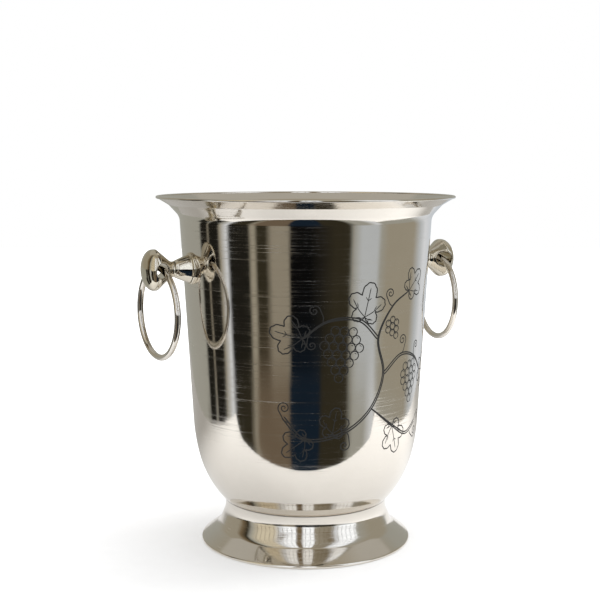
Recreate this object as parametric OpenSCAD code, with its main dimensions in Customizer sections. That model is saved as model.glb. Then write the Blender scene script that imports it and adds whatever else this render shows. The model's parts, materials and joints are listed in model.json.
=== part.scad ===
// Footed wine bucket: a spun sheet bowl on a spun foot, with a drop-ring handle on a
// bolted post at each side. Sizes in millimetres. The origin is the middle of the
// footprint, +Z is up and the two handle posts stand along X.

/* [Overall] */
// Height from the table to the top of the rim
total_h = 264; // [240:1:340]
// Diameter over the rim wire
rim_d = 225; // [200:1:280]
// Thickness of the spun sheet
sheet = 0.9; // [0.6:0.05:1.4]

/* [Rim] */
// Diameter of the wire soldered round the rim
rim_wire_d = 2; // [1.6:0.1:3.5]
// Width of the brim inside the rim wire
brim_w = 8.5; // [4:0.1:14]
// Rise of the brim above level, in degrees
brim_rise = 31; // [0:1:40]
// Height of the flare between the brim and the wall
flare_h = 8.6; // [6:0.1:20]
// Lean of the flare away from upright, in degrees
flare_lean = 43; // [25:1:50]
// Radius of the bend between brim and flare
brim_bend = 4; // [1:0.5:10]
// Radius of the bend between flare and wall
neck_bend = 10; // [3:0.5:14]

/* [Bowl] */
// Lean of the wall away from upright, in degrees
wall_lean = 3.4; // [1:0.1:6]
// Height at which the straight wall starts to curve in
belly_h = 94.3; // [85:0.1:120]
// Radius of the gentle upper curve of the belly
belly_r = 140; // [110:1:180]
// Slope at which the upper curve hands over to the lower one, in degrees
belly_turn = 14.9; // [8:0.1:24]
// Radius of the lower curve of the belly
lower_r = 77.4; // [70:0.1:84]
// Slope at which the lower curve hands over to the base bend, in degrees
lower_turn = 48; // [46:1:56]
// Radius of the bend into the flat base
base_bend = 28; // [16:1:40]

/* [Foot] */
// How far the rolled edge of the foot stands out beyond the joint with the bowl
foot_spread = 17.7; // [15:0.1:26]
// Height of the joint between foot and bowl
foot_h = 33.2; // [29:0.1:40]
// Height of the narrow waist of the foot
waist_h = 27.6; // [22:0.1:28]
// Radius of the hollow curve at the waist
waist_bend = 16; // [10:0.5:22]
// Lean of the upper skirt away from upright, in degrees
skirt_lean = 23; // [15:1:30]
// Radius of the bend between upper and lower skirt
skirt_bend = 11; // [5:0.5:16]
// Slope of the lower skirt above level, in degrees
skirt_slope = 36.7; // [30:0.1:45]
// Diameter of the wire that the foot's edge is rolled round
foot_wire_d = 1.1; // [0.8:0.1:2]
// Depth ground off the rolled edge so that it stands flat
foot_grind = 0.1; // [0.05:0.01:0.2]
// Length of each leg of the solder fillet inside the foot
solder_leg = 2.2; // [1:0.1:4]

/* [Handle posts] */
// Drop from the top of the rim to the posts' centre line
post_drop = 51.7; // [45:0.1:80]
// Diameter of the flange against the wall
flange_d = 23.2; // [18:0.1:28]
// Thickness of the flange's edge
flange_t = 2.6; // [1.5:0.1:4]
// Diameter of the post at its waist
post_waist_d = 11.4; // [9.5:0.1:14]
// Distance of the waist from the wall
post_waist_x = 14.9; // [12:0.1:17]
// Radius of the hollow curve at the post's waist
post_waist_bend = 4.5; // [2:0.1:8]
// Diameter of the head
head_d = 29.8; // [27:0.1:34]
// Distance of the head's widest place from the wall
head_x = 29.4; // [28:0.1:32]
// Depth of the domed face of the head
head_dome = 7.8; // [6:0.1:11]
// Distance of the ring hole's centre line from the wall
hole_x = 25.7; // [25:0.1:28]
// Radial clearance between ring and hole
ring_clearance = 3; // [2.6:0.1:3.2]

/* [Rings] */
// Diameter of each ring along the middle of its wire
ring_d = 64.7; // [58:0.1:80]
// Diameter of the ring wire
ring_wire_d = 4.6; // [3.5:0.1:5.6]
// How far the top of the ring rides above the hole's centre line
ring_lift = 1.5; // [1:0.1:1.8]
// Turn of the left ring about the vertical as it hangs, in degrees
left_ring_turn = 4.4; // [-7:0.1:7]
// Turn of the right ring about the vertical as it hangs, in degrees
right_ring_turn = -6; // [-7:0.1:7]

/* [Fasteners] */
// Diameter of the screw thread
screw_d = 5; // [4:0.5:6]
// Length of the screw under its head
screw_l = 12; // [11:1:14]
// Diameter of the screw head
screw_head_d = 9.5; // [8:0.1:12]
// Height of the screw head
screw_head_h = 3.2; // [2.4:0.1:4]
// Depth of the cross recess
recess_depth = 2; // [1:0.1:2.4]
// Width of each slot of the cross recess
recess_w = 1.1; // [0.8:0.1:1.6]
// Length of each slot of the cross recess
recess_l = 5; // [3:0.1:6.5]
// Outer diameter of the washer
washer_d = 11.5; // [10:0.1:14]
// Thickness of the washer
washer_t = 1; // [0.6:0.1:2]
// Outer diameter of the seal
seal_d = 13.5; // [11.5:0.1:16]
// Thickness of the seal at its middle
seal_t = 1.6; // [1:0.1:3]

/* [Fits] */
// Radial clearance between the screw and its tapped hole
thread_clearance = 0.05; // [0.02:0.01:0.15]
// Radial clearance round the screw in the wall, washer and seal
shank_clearance = 0.25; // [0.15:0.05:0.5]
// Space at the tip of the screw in its blind hole
tip_clearance = 1.5; // [0.5:0.1:3]
// Film between soldered or rolled pieces and their seats
seat_gap = 0.02; // [0.01:0.01:0.05]

/* [Hidden] */
$fn = 96;
// Turn covered by each straight step of a large and of a small bend, in degrees
step = 3;
small_step = 10;
// Extra length that takes a cut right through
past = 2;
LEFT = -1;
RIGHT = 1;
// Face angles of the bowl's straight stretches, measured from level outward
brim_a = brim_rise - 90;
flare_a = -flare_lean;
wall_a = -wall_lean;
belly_a = -belly_turn;
lower_a = -lower_turn;
base_a = -90;

// A direction in the outline plane
function unit(a) = [cos(a), sin(a)];
// Where two straight lines cross, each given by its face angle and its distance
function meet(a1, d1, a2, d2) =
  [d1 * sin(a2) - d2 * sin(a1), d2 * cos(a1) - d1 * cos(a2)] / sin(a2 - a1);
// Centre of a hollow bend of radius r between two such lines
function bend_centre(a1, d1, a2, d2, r) = meet(a1, d1 + r, a2, d2 + r);
// One bend, lifted by o from the outer face; side is 1 where it bulges and -1 where it is hollow
function bend(c, r, a1, a2, side, o = 0, turn = step) =
  let (n = ceil(abs(a2 - a1) / turn))
  [for (i = [0:n]) c + (side * r + o) * unit(a1 + (a2 - a1) * i / n)];
// The lower of the two points where a circle on the right crosses one on the left
function crossing(c1, r1, c2, r2) =
  let (d = norm(c2 - c1))
  let (u = (c2 - c1) / d)
  let (along = (d * d + r1 * r1 - r2 * r2) / (2 * d))
  c1 + along * u + sqrt(r1 * r1 - along * along) * [-u[1], u[0]];
// Turn of a bend of radius r that covers a given length, in degrees
function turn_over(length, r) = length / r * 180 / PI;
// A list in the opposite order
function reversed(p) = [for (i = [len(p) - 1:-1:0]) p[i]];

// Bowl: straight lines of the outer face
rim_wire_c = [(rim_d - rim_wire_d) / 2, total_h - rim_wire_d / 2];
brim_dist = rim_wire_c * unit(brim_a) + sheet / 2;
brim_inner_r = rim_wire_c[0] - brim_w;
flare_top = [brim_inner_r, (brim_dist - brim_inner_r * cos(brim_a)) / sin(brim_a)];
flare_dist = flare_top * unit(flare_a);
wall_top = flare_top - flare_h * [tan(flare_lean), 1];
wall_dist = wall_top * unit(wall_a);
// Radius of the wall's outer face at height z, lifted by o
function wall_r(z, o = 0) = (wall_dist + o - z * sin(wall_a)) / cos(wall_a);
// Bowl: centres of the bends
brim_c = bend_centre(brim_a, brim_dist, flare_a, flare_dist, brim_bend);
neck_c = bend_centre(flare_a, flare_dist, wall_a, wall_dist, neck_bend);
belly_c = [wall_r(belly_h), belly_h] - belly_r * unit(wall_a);
lower_c = belly_c + (belly_r - lower_r) * unit(belly_a);
base_c = lower_c + (lower_r - base_bend) * unit(lower_a);
base_z = base_c[1] - base_bend;
// Bowl: one face of the sheet from the rim to the middle of the base
function bowl_face(o = 0) = concat(
  [rim_wire_c + (o + sheet / 2) * unit(brim_a)],
  bend(brim_c, brim_bend, brim_a, flare_a, -1, o),
  bend(neck_c, neck_bend, flare_a, wall_a, -1, o),
  bend(belly_c, belly_r, wall_a, belly_a, 1, o),
  bend(lower_c, lower_r, belly_a, lower_a, 1, o),
  bend(base_c, base_bend, lower_a, base_a, 1, o),
  [[0, base_z - o]]
);

// Foot: the joint with the bowl, the waist and the rolled edge
joint_r = lower_c[0] + sqrt(pow(lower_r, 2) - pow(lower_c[1] - foot_h, 2));
joint_a = -asin((foot_h - waist_h) / waist_bend);
waist_c = [joint_r + waist_bend * cos(joint_a), waist_h];
waist_dist = waist_c * unit(skirt_lean) - waist_bend;
roll_r = foot_wire_d / 2 + sheet;
foot_r = joint_r + foot_spread;
roll_c = [foot_r - roll_r, roll_r - foot_grind];
skirt_a = 90 - skirt_slope;
skirt_dist = roll_c * unit(skirt_a) + roll_r;
skirt_c = bend_centre(skirt_lean, waist_dist, skirt_a, skirt_dist, skirt_bend);
// Turn past the joint that carries the foot's top into the bowl's surface
top_extra = 6;
// Foot: one face of the sheet from above the joint to the rolled edge
function foot_face(o = 0) = concat(
  bend(waist_c, waist_bend, joint_a - top_extra, skirt_lean, -1, o),
  bend(skirt_c, skirt_bend, skirt_lean, skirt_a, -1, o)
);
// Foot: the rolled edge, round from the outer face to the inner face of the sheet
roll_end_a = skirt_a + acos((roll_r - sheet) / roll_r) - 360;
roll_face = bend(roll_c, roll_r, skirt_a, roll_end_a, 1, 0, small_step);
// Foot: inner corner under the bowl and the ends of the solder fillet's legs
inner_bend = waist_bend + sheet;
corner = crossing(waist_c, inner_bend, lower_c, lower_r);
corner_bowl_a = -acos((corner[0] - lower_c[0]) / lower_r);
corner_foot_a = -asin((corner[1] - waist_h) / inner_bend);
solder_bowl_end = lower_c + lower_r * unit(corner_bowl_a - turn_over(solder_leg, lower_r));
solder_foot_end = waist_c - inner_bend * unit(corner_foot_a + turn_over(solder_leg, inner_bend));

// Handle posts
post_z = total_h - post_drop;
post_wall_r = wall_r(post_z);
hole_r = (ring_wire_d / 2) + ring_clearance;
hole_c_r = post_wall_r + hole_x;
// Post: rounding of the flange's and the head's edges, and the slopes each side of the waist
flange_edge = 1.2;
head_edge = 1.4;
neck_slope = 35;
head_slope = 45;
// Depth of the post's blank inside the wall's surface, cut away to fit the wall
post_root = flange_d / 4;
// Post: a rounded stretch of the outline about c, from slope a1 to a2
function post_bend(c, r, a1, a2, side) =
  [for (i = [0:8]) c + side * r * [cos(a1 + (a2 - a1) * i / 8), sin(a1 + (a2 - a1) * i / 8)]];
// Post: outline as [radius, distance from the wall]
post_outline = concat(
  [[0, -post_root], [flange_d / 2, -post_root]],
  post_bend([flange_d / 2 - flange_edge, flange_t - flange_edge], flange_edge, 0, 90, 1),
  post_bend(
    [post_waist_d / 2 + post_waist_bend, post_waist_x], post_waist_bend, neck_slope, -head_slope, -1),
  post_bend([head_d / 2 - head_edge, head_x - head_edge], head_edge, -head_slope, 0, 1),
  [for (a = [0:5:90]) [head_d / 2 * cos(a), head_x + head_dome * sin(a)]]
);

// Fasteners: distances from the axis of the bucket
inner_wall_r = wall_r(post_z, -sheet);
washer_r = inner_wall_r - seal_t;
screw_seat_r = washer_r - washer_t;
screw_tip_r = screw_seat_r + screw_l;

// A round piece turned about an axis that runs outward along X at post height
module on_post_axis(side, r) {
  rotate([0, 0, side == LEFT ? 180 : 0])
    translate([r, 0, post_z])
      rotate([0, 90, 0])
        children();
}

// The straight part of the wall as a solid cone, lifted by o from the outer face
module wall_cone(o) {
  translate([0, 0, belly_h])
    cylinder(
      h = wall_top[1] - belly_h,
      r1 = wall_r(belly_h, o),
      r2 = wall_r(wall_top[1], o),
      $fn = 180
    );
}

// Everything inside the bowl's outer face, lifted by o
module bowl_core(o) {
  rotate_extrude($fn = 180)
    polygon(concat([[0, total_h + past], [rim_wire_c[0], total_h + past]], bowl_face(o)));
}

module bowl() {
  color([0.80, 0.79, 0.76])
    difference() {
      rotate_extrude($fn = 180)
        polygon(concat(bowl_face(0), reversed(bowl_face(-sheet))));
      rotate_extrude($fn = 180)
        translate(rim_wire_c)
          circle(r = rim_wire_d / 2 + seat_gap, $fn = 32);
      for (side = [LEFT, RIGHT])
        on_post_axis(side, inner_wall_r - past)
          cylinder(h = sheet + 2 * past, r = screw_d / 2 + shank_clearance, $fn = 48);
    }
}

module rim_wire() {
  color([0.84, 0.83, 0.80])
    rotate_extrude($fn = 180)
      translate(rim_wire_c)
        circle(d = rim_wire_d, $fn = 32);
}

module foot() {
  color([0.80, 0.79, 0.76])
    difference() {
      rotate_extrude($fn = 180)
        polygon(concat(foot_face(0), roll_face, reversed(foot_face(-sheet))));
      bowl_core(seat_gap);
      rotate_extrude($fn = 180)
        translate(roll_c)
          circle(r = foot_wire_d / 2 + seat_gap, $fn = 24);
      translate([0, 0, -past])
        cylinder(h = past, r = foot_r + past, $fn = 180);
    }
}

module foot_wire() {
  color([0.55, 0.55, 0.55])
    rotate_extrude($fn = 180)
      translate(roll_c)
        circle(d = foot_wire_d, $fn = 24);
}

module foot_solder() {
  color([0.62, 0.62, 0.62])
    difference() {
      rotate_extrude($fn = 180)
        polygon([corner + [sheet, sheet] / 2, solder_bowl_end, solder_foot_end]);
      bowl_core(seat_gap);
      rotate_extrude($fn = 180)
        polygon(concat(foot_face(0), reversed(foot_face(-sheet - seat_gap))));
    }
}

module post(side) {
  color([0.80, 0.78, 0.70])
    difference() {
      on_post_axis(side, post_wall_r)
        rotate_extrude($fn = 96)
          polygon(post_outline);
      wall_cone(seat_gap);
      on_post_axis(side, post_wall_r - post_root - past)
        cylinder(
          h = screw_tip_r + tip_clearance - post_wall_r + post_root + past,
          r = screw_d / 2 + thread_clearance,
          $fn = 48
        );
      translate([side * hole_c_r, 0, post_z])
        rotate([90, 0, 0])
          cylinder(h = 2 * head_d, r = hole_r, center = true, $fn = 64);
    }
}

module screw(side) {
  color([0.62, 0.62, 0.64])
    difference() {
      union() {
        on_post_axis(side, screw_seat_r)
          cylinder(h = screw_l, d = screw_d, $fn = 48);
        on_post_axis(side, screw_seat_r - screw_head_h)
          cylinder(
            h = screw_head_h,
            r1 = (screw_head_d - screw_head_h) / 2,
            r2 = screw_head_d / 2,
            $fn = 48
          );
      }
      for (turn = [0, 90])
        on_post_axis(side, screw_seat_r - screw_head_h + (recess_depth - past) / 2)
          rotate([0, 0, turn])
            cube([recess_l, recess_w, recess_depth + past], center = true);
    }
}

module washer(side) {
  color([0.66, 0.66, 0.68])
    difference() {
      on_post_axis(side, screw_seat_r)
        cylinder(h = washer_t, d = washer_d, $fn = 64);
      on_post_axis(side, screw_seat_r - past)
        cylinder(h = washer_t + 2 * past, r = screw_d / 2 + shank_clearance, $fn = 48);
    }
}

// The seal fills the space between the flat washer and the curved inner wall
module seal(side) {
  color([0.12, 0.12, 0.12])
    intersection() {
      difference() {
        on_post_axis(side, washer_r)
          cylinder(h = seal_t + past, d = seal_d, $fn = 64);
        on_post_axis(side, washer_r - past)
          cylinder(h = seal_t + 3 * past, r = screw_d / 2 + shank_clearance, $fn = 48);
      }
      wall_cone(-sheet - seat_gap);
    }
}

module ring(side, turn) {
  color([0.84, 0.83, 0.80])
    translate([side * hole_c_r, 0, post_z + ring_lift - ring_d / 2])
      rotate([0, 0, turn])
        rotate([0, 90, 0])
          rotate_extrude($fn = 120)
            translate([ring_d / 2, 0])
              circle(d = ring_wire_d, $fn = 40);
}

bowl();
rim_wire();
foot();
foot_wire();
foot_solder();
post(LEFT);  // left_post
screw(LEFT);  // left_screw
washer(LEFT);  // left_washer
seal(LEFT);  // left_seal
ring(LEFT, left_ring_turn);  // left_ring
post(RIGHT);  // right_post
screw(RIGHT);  // right_screw
washer(RIGHT);  // right_washer
seal(RIGHT);  // right_seal
ring(RIGHT, right_ring_turn);  // right_ring
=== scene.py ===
"""Looks of a footed champagne bucket with two drop-ring handles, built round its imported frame."""
import json
import math

import bpy
import numpy as np
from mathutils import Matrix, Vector


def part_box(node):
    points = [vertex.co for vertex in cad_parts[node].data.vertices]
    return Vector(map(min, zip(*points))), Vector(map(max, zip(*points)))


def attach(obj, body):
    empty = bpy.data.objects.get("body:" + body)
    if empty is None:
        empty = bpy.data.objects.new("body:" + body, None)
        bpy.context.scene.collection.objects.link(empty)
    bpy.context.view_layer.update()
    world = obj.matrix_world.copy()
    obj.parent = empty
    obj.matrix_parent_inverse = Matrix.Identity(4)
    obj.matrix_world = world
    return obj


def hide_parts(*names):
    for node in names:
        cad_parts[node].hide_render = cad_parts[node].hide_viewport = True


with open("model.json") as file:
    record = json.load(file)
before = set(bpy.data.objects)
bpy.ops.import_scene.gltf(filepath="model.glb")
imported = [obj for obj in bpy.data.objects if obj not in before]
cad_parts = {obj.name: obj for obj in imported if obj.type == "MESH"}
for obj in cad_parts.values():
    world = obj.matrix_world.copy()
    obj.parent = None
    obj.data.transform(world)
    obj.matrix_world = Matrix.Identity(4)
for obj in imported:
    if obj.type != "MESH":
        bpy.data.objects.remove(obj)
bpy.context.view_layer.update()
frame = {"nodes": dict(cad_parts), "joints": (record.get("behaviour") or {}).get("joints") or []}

MM = 0.001
TINY = 1e-9

# ---- sizes (metres and degrees)
SHEET = 0.9 * MM
SEAT_GAP = 0.02 * MM
BRIM_WIDTH = 8.5 * MM
BRIM_RISE = 31.0
FLARE_HEIGHT = 8.6 * MM
FLARE_LEAN = 43.0
BRIM_BEND = 4.0 * MM
NECK_BEND = 10.0 * MM
WALL_LEAN = 3.4
BELLY_HEIGHT = 94.3 * MM
BELLY_RADIUS = 140.0 * MM
BELLY_TURN = 14.9
LOWER_RADIUS = 77.4 * MM
LOWER_TURN = 48.0
BASE_BEND = 28.0 * MM
WAIST_HEIGHT = 27.6 * MM
WAIST_BEND = 16.0 * MM
SKIRT_LEAN = 23.0
SKIRT_BEND = 11.0 * MM
SKIRT_SLOPE = 36.7
FOOT_WIRE_RADIUS = 0.55 * MM
FOOT_GRIND = 0.1 * MM
FLANGE_RADIUS = 11.6 * MM
FLANGE_THICK = 2.6 * MM
FLANGE_EDGE = 1.2 * MM
POST_WAIST_RADIUS = 5.7 * MM
POST_WAIST_OUT = 14.9 * MM
POST_WAIST_BEND = 4.5 * MM
POST_NECK_SLOPE = 35.0
POST_HEAD_SLOPE = 45.0
HEAD_RADIUS = 14.9 * MM
HEAD_EDGE = 1.4 * MM
HEAD_DOME = 7.8 * MM
RING_HOLE_RADIUS = 5.3 * MM
RING_WIRE_RADIUS = 2.3 * MM
LEFT_RING_TURN = 4.4
RIGHT_RING_TURN = 6.0
SCREW_HOLE_RADIUS = 2.75 * MM
TAPPED_RADIUS = 2.55 * MM
TAPPED_BEYOND = 1.5 * MM
HOLE_MOUTH_ROUND = 1.6 * MM
WALL_EDGE_ROUND = 0.3 * MM
TAPPED_EDGE_ROUND = 0.2 * MM
# Width of the band of painted crevice shade, with some patina, at the joint of bowl and foot
SHADE_AND_TARNISH_WIDTH = 0.7 * MM

# Places read from the frame
rim_low, rim_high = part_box("rim_wire")
foot_low, foot_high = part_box("foot")
post_low, post_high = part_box("right_post")
TOP = rim_high.z
RIM_RADIUS = (rim_high.x - rim_low.x) / 2
RIM_WIRE_RADIUS = (rim_high.z - rim_low.z) / 2
FOOT_RADIUS = (foot_high.x - foot_low.x) / 2
JOINT_HEIGHT = foot_high.z
POST_HEIGHT = (post_low.z + post_high.z) / 2
POST_END = post_high.x
JOINTS = {joint["child"]: joint for joint in frame["joints"]}
RING_HOLE_OUT = JOINTS["right_ring"]["pos_m"][0]
TAPPED_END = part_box("right_screw")[1].x + TAPPED_BEYOND

# How finely the surfaces are divided: points round a turn, along a straight stretch, per degree of a bend
ROUND_BOWL = 288
ROUND_POST = 144
ROUND_RING = 220
ROUND_WIRE = 28
ROUND_BEAD = 20
ROUND_DRILL = 48
ROUND_RING_HOLE = 64
ROUND_CONE = 720
BRIM_POINTS = 12
FLARE_POINTS = 10
WALL_POINTS = 30
BASE_POINTS = 5
SKIRT_POINTS = 6
FLANGE_POINTS = 8
SLOPE_POINTS = 14
DOME_POINTS = 40
FINE_BEND = 1.0
LOWER_BEND = 0.8
PLAIN_BEND = 0.5
POST_BEND = 0.4
EDGE_BEND = 0.2
SMALL_BEND = 0.1
POST_VOXEL = 0.4 * MM
NEWTON_STEPS = 4
SMOOTH_BELOW = 35.0
LINES_SMOOTH_BELOW = 60.0
ALL_SMOOTH = 180.0

# How far the cutting tools reach past what they cut
DRILL_REACH = 6 * MM
RING_HOLE_REACH = 30 * MM
CONE_REACH = 20 * MM


# ---- outlines
def unit(angle):
    """Direction (cos a, sin a) in the outline plane of radius and height, for an angle in degrees."""
    a = np.radians(angle)
    return np.stack([np.cos(a), np.sin(a)], -1)


def meet(angle_1, far_1, angle_2, far_2):
    """Where two straight lines cross: each holds the points p with p . unit(angle) = far."""
    return np.linalg.solve(np.array([unit(angle_1), unit(angle_2)]), [far_1, far_2])


def bend_centre(angle_1, far_1, angle_2, far_2, radius):
    """Centre of a hollow bend that touches both lines: the crossing of the lines moved out by its radius."""
    return meet(angle_1, far_1 + radius, angle_2, far_2 + radius)


def bend(centre, radius, start, stop, side, lift, per_degree):
    """Points c + (side r + lift) unit(a) with a from start to stop; side is 1 on a bulge, -1 in a hollow."""
    angles = np.linspace(start, stop, max(3, int(abs(stop - start) * per_degree) + 1))
    return centre + (side * radius + lift) * unit(angles)


def crossing(centre_1, radius_1, centre_2, radius_2):
    """The lower crossing of two circles, the first of them on the right: a step along the centre line
    and a step square to it, by the cosine rule."""
    gap = centre_2 - centre_1
    far = np.linalg.norm(gap)
    ahead = gap / far
    along = (far**2 + radius_1**2 - radius_2**2) / (2 * far)
    aside = math.sqrt(radius_1**2 - along**2)
    return centre_1 + along * ahead + aside * np.array([-ahead[1], ahead[0]])


def evenly(start, stop, count):
    """Points between two ends of a straight stretch, without the ends."""
    share = np.linspace(0, 1, count + 2)[1:-1, None]
    return start + share * (stop - start)


BRIM_ANGLE = BRIM_RISE - 90
FLARE_ANGLE = -FLARE_LEAN
SKIRT_ANGLE = 90 - SKIRT_SLOPE
RIM_WIRE_CENTRE = np.array([RIM_RADIUS - RIM_WIRE_RADIUS, TOP - RIM_WIRE_RADIUS])
brim_far = RIM_WIRE_CENTRE @ unit(BRIM_ANGLE) + SHEET / 2
brim_inner = RIM_WIRE_CENTRE[0] - BRIM_WIDTH
flare_top = np.array([brim_inner, (brim_far - brim_inner * unit(BRIM_ANGLE)[0]) / unit(BRIM_ANGLE)[1]])
flare_far = flare_top @ unit(FLARE_ANGLE)
WALL_TOP = flare_top - FLARE_HEIGHT * np.array([math.tan(math.radians(FLARE_LEAN)), 1])
wall_far = WALL_TOP @ unit(-WALL_LEAN)


def wall_radius(height, lift=0.0):
    """Radius of the straight wall at a height: the wall's line solved for its radius."""
    across, up = unit(-WALL_LEAN)
    return (wall_far + lift - height * up) / across


brim_centre = bend_centre(BRIM_ANGLE, brim_far, FLARE_ANGLE, flare_far, BRIM_BEND)
neck_centre = bend_centre(FLARE_ANGLE, flare_far, -WALL_LEAN, wall_far, NECK_BEND)
belly_centre = np.array([wall_radius(BELLY_HEIGHT), BELLY_HEIGHT]) - BELLY_RADIUS * unit(-WALL_LEAN)
lower_centre = belly_centre + (BELLY_RADIUS - LOWER_RADIUS) * unit(-BELLY_TURN)
base_centre = lower_centre + (LOWER_RADIUS - BASE_BEND) * unit(-LOWER_TURN)


def bowl_face(lift):
    """One face of the bowl's sheet, from the rim wire down to the middle of the base."""
    run_in = math.sqrt((RIM_WIRE_RADIUS + SEAT_GAP) ** 2 - (SHEET / 2) ** 2)
    edge = RIM_WIRE_CENTRE + (lift + SHEET / 2) * unit(BRIM_ANGLE) - run_in * unit(BRIM_RISE)
    brim = bend(brim_centre, BRIM_BEND, BRIM_ANGLE, FLARE_ANGLE, -1, lift, FINE_BEND)
    neck = bend(neck_centre, NECK_BEND, FLARE_ANGLE, -WALL_LEAN, -1, lift, FINE_BEND)
    belly = bend(belly_centre, BELLY_RADIUS, -WALL_LEAN, -BELLY_TURN, 1, lift, FINE_BEND)
    base = bend(base_centre, BASE_BEND, -LOWER_TURN, -90, 1, lift, PLAIN_BEND)
    middle = np.array([0.0, base[-1][1]])
    return np.vstack([
        [edge],
        evenly(edge, brim[0], BRIM_POINTS),
        brim,
        evenly(brim[-1], neck[0], FLARE_POINTS),
        neck,
        evenly(neck[-1], belly[0], WALL_POINTS),
        belly,
        bend(lower_centre, LOWER_RADIUS, -BELLY_TURN, -LOWER_TURN, 1, lift, LOWER_BEND),
        base,
        evenly(base[-1], middle, BASE_POINTS),
        [middle],
    ])


def bowl_outline():
    """The whole sheet: inner face from the base up to the rim, then outer face down again."""
    return np.vstack([bowl_face(-SHEET)[::-1], bowl_face(0.0)])


def foot_outline():
    """The foot's sheet: outer face, rolled edge ground flat, inner face, top cut to the bowl."""
    joint = lower_centre[0] + math.sqrt(LOWER_RADIUS**2 - (lower_centre[1] - JOINT_HEIGHT) ** 2)
    joint_angle = -math.degrees(math.asin((JOINT_HEIGHT - WAIST_HEIGHT) / WAIST_BEND))
    waist = np.array([joint + WAIST_BEND * math.cos(math.radians(joint_angle)), WAIST_HEIGHT])
    waist_far = waist @ unit(SKIRT_LEAN) - WAIST_BEND
    roll_radius = FOOT_WIRE_RADIUS + SHEET
    roll = np.array([FOOT_RADIUS - roll_radius, roll_radius - FOOT_GRIND])
    skirt_far = roll @ unit(SKIRT_ANGLE) + roll_radius
    skirt = bend_centre(SKIRT_LEAN, waist_far, SKIRT_ANGLE, skirt_far, SKIRT_BEND)

    def face(lift):
        top = crossing(waist, WAIST_BEND - lift, lower_centre, LOWER_RADIUS + SEAT_GAP)
        start = -math.degrees(math.asin((top[1] - WAIST_HEIGHT) / (WAIST_BEND - lift)))
        return np.vstack([
            bend(waist, WAIST_BEND, start, SKIRT_LEAN, -1, lift, FINE_BEND),
            bend(skirt, SKIRT_BEND, SKIRT_LEAN, SKIRT_ANGLE, -1, lift, FINE_BEND),
        ])

    roll_end = SKIRT_ANGLE + math.degrees(math.acos((roll_radius - SHEET) / roll_radius)) - 360
    edge = bend(roll, roll_radius, SKIRT_ANGLE, roll_end, 1, 0.0, EDGE_BEND)
    outer, inner = face(0.0), face(-SHEET)[::-1]
    outline = np.vstack([
        outer,
        evenly(outer[-1], edge[0], SKIRT_POINTS),
        edge,
        evenly(edge[-1], inner[0], SKIRT_POINTS),
        inner,
    ])
    outline[:, 1] = np.maximum(outline[:, 1], 0.0)
    return outline


HEAD_OUT = POST_END - HEAD_DOME - wall_radius(POST_HEIGHT)
POST_ROOT = -5.8 * MM


def post_outline():
    """Radius of the handle post against the distance from the wall: flange, hollow neck and domed head."""
    flange = np.array([FLANGE_RADIUS - FLANGE_EDGE, FLANGE_THICK - FLANGE_EDGE])
    waist = np.array([POST_WAIST_RADIUS + POST_WAIST_BEND, POST_WAIST_OUT])
    rim = np.array([HEAD_RADIUS - HEAD_EDGE, HEAD_OUT - HEAD_EDGE])
    flange_round = bend(flange, FLANGE_EDGE, 0, 90, 1, 0.0, SMALL_BEND)
    neck = bend(waist, POST_WAIST_BEND, POST_NECK_SLOPE, -POST_HEAD_SLOPE, -1, 0.0, POST_BEND)
    rim_round = bend(rim, HEAD_EDGE, -POST_HEAD_SLOPE, 0, 1, 0.0, EDGE_BEND)
    turn = np.radians(np.linspace(0, 90, DOME_POINTS))[1:]
    dome = np.stack([HEAD_RADIUS * np.cos(turn), HEAD_OUT + HEAD_DOME * np.sin(turn)], -1)
    dome[-1, 0] = 0.0
    root = np.array([FLANGE_RADIUS, POST_ROOT])
    return np.vstack([
        [[0.0, POST_ROOT], root],
        evenly(root, flange_round[0], FLANGE_POINTS),
        flange_round,
        evenly(flange_round[-1], neck[0], SLOPE_POINTS),
        neck,
        evenly(neck[-1], rim_round[0], SLOPE_POINTS),
        rim_round,
        dome,
    ])


# ---- meshes
def add_object(name, data):
    """A new object at the origin, linked to the scene."""
    thing = bpy.data.objects.new(name, data)
    bpy.context.scene.collection.objects.link(thing)
    return thing


def make_piece(name, points, faces, material, smooth_below=SMOOTH_BELOW):
    """A mesh object at the origin from points and faces, its faces outward and smooth up to an angle."""
    mesh = bpy.data.meshes.new(name)
    mesh.from_pydata(points.tolist(), [], faces)
    mesh.update()
    piece = add_object(name, mesh)
    mesh.materials.append(material)
    face_outward(mesh)
    mesh.shade_smooth()
    mesh.set_sharp_from_angle(angle=math.radians(smooth_below))
    return piece


def face_outward(mesh):
    """Turns a closed mesh the right way out: its volume, summed as a . (b x c) / 6, has to be positive."""
    mesh.calc_loop_triangles()
    corners = np.empty(len(mesh.loop_triangles) * 3, np.int64)
    mesh.loop_triangles.foreach_get("vertices", corners)
    place = np.empty(len(mesh.vertices) * 3)
    mesh.vertices.foreach_get("co", place)
    a, b, c = np.moveaxis(place.reshape(-1, 3)[corners.reshape(-1, 3)], 1, 0)
    if np.einsum("ij,ij->i", a, np.cross(b, c)).sum() < 0:
        mesh.flip_normals()


def grid_faces(rows, columns, wrap_rows):
    """Quads between the points of a grid whose columns close on themselves."""
    row = np.arange(rows if wrap_rows else rows - 1)[:, None]
    column = np.arange(columns)[None, :]
    next_row, next_column = (row + 1) % rows, (column + 1) % columns
    quads = np.stack([
        row * columns + column,
        row * columns + next_column,
        next_row * columns + next_column,
        next_row * columns + column,
    ], -1)
    return quads.reshape(-1, 4).tolist()


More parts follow.
